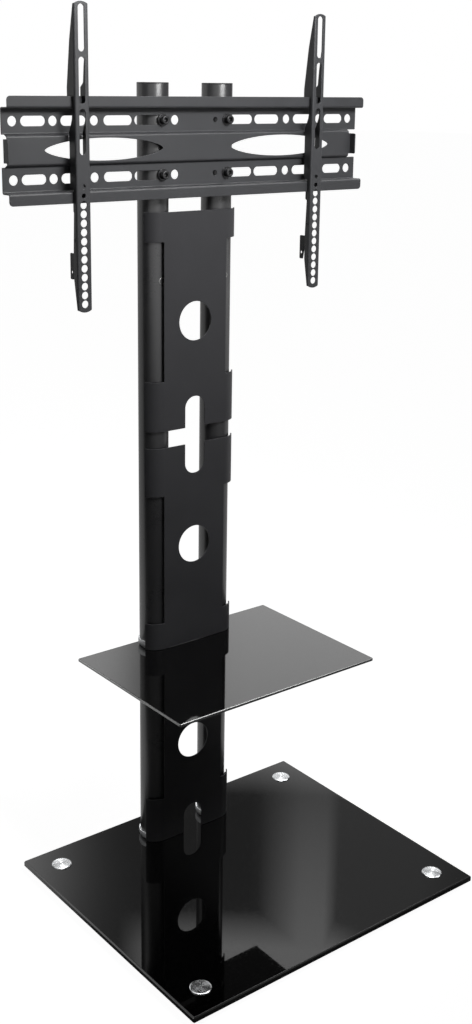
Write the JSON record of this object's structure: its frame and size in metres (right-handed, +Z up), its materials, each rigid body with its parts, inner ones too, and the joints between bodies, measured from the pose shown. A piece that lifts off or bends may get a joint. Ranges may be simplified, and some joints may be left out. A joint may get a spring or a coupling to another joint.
{
  "type": "tv stand with mount",
  "caption": "Television floor stand: black glass base and shelf, tubular column with clip-on covers, and a slotted rail with sliding hook arms.",
  "frame": {"origin": "on the floor, under the middle of the object's box, which is the middle of the base glass", "axes": "+X along the rail to the viewer's right, -Y towards the television, +Z up"},
  "size_m": [0.66, 0.476, 1.383],
  "materials": {
    "base_glass": "polished, opaque black",
    "shelf_glass": "polished, opaque black",
    "disc_steel": "radially spun",
    "collar_steel": "satin",
    "rubber": "matte",
    "foam": "closed-cell foam",
    "zinc_steel": "zinc plated",
    "black_steel": "powder coated",
    "tube_paint": "powder coated, satin",
    "panel_paint": "powder coated, satin",
    "rail_paint": "powder coated, satin",
    "latch_paint": "powder coated, satin",
    "bolt_steel": "blackened",
    "cap_plastic": "moulded",
    "spring_steel": "drawn wire"
  },
  "bodies": {
    "stand": {"base_glass": "base_glass", "foot_disc_front_left": "disc_steel", "foot_disc_front_right": "disc_steel", "foot_disc_back_left": "disc_steel", "foot_disc_back_right": "disc_steel", "foot_pad_front_left": "rubber", "foot_pad_front_right": "rubber", "foot_pad_back_left": "rubber", "foot_pad_back_right": "rubber", "foot_studs": "zinc_steel", "under_plate": "black_steel", "base_bolts": "zinc_steel", "base_gaskets": "rubber", "lower_collar_left": "collar_steel", "lower_collar_right": "collar_steel", "lower_tube_left": "tube_paint", "lower_tube_right": "tube_paint", "lower_tube_plugs": "zinc_steel", "shelf_glass": "shelf_glass", "shelf_gaskets": "rubber", "shelf_studs": "zinc_steel", "upper_collar_left": "collar_steel", "upper_collar_right": "collar_steel", "upper_tube_left": "tube_paint", "upper_tube_right": "tube_paint", "upper_tube_plugs": "zinc_steel", "tube_cap_left": "cap_plastic", "tube_cap_right": "cap_plastic", "panel_lower": "panel_paint", "panel_middle": "panel_paint", "panel_upper": "panel_paint", "panel_pads_lower": "foam", "panel_pads_middle": "foam", "panel_pads_upper": "foam", "rivet_nuts_left": "zinc_steel", "rivet_nuts_right": "zinc_steel", "rail_plate": "rail_paint", "rail_washers": "bolt_steel", "rail_bolts": "bolt_steel"},
    "arm_left": {"arm_left": "rail_paint", "latch_pins_left": "zinc_steel", "latch_spring_left": "spring_steel"},
    "arm_right": {"arm_right": "rail_paint", "latch_pins_right": "zinc_steel", "latch_spring_right": "spring_steel"},
    "latch_left": {"latch_left": "latch_paint"},
    "latch_right": {"latch_right": "latch_paint"}
  },
  "joints": [
    {"name": "arm_left_slide", "type": "slide", "parent": "stand", "child": "arm_left", "axis": [1, 0, 0], "range_m": [-0.098, 0.131]},
    {"name": "arm_right_slide", "type": "slide", "parent": "stand", "child": "arm_right", "axis": [1, 0, 0], "range_m": [-0.1385, 0.0775]},
    {"name": "latch_left_slide", "type": "slide", "parent": "arm_left", "child": "latch_left", "axis": [0, 0, 1], "range_m": [-0.01, 0], "stiffness_N_per_m": 300, "springref_m": 0.006, "deforming": ["latch_spring_left"]},
    {"name": "latch_right_slide", "type": "slide", "parent": "arm_right", "child": "latch_right", "axis": [0, 0, 1], "range_m": [-0.01, 0], "stiffness_N_per_m": 300, "springref_m": 0.006, "deforming": ["latch_spring_right"]}
  ]
}
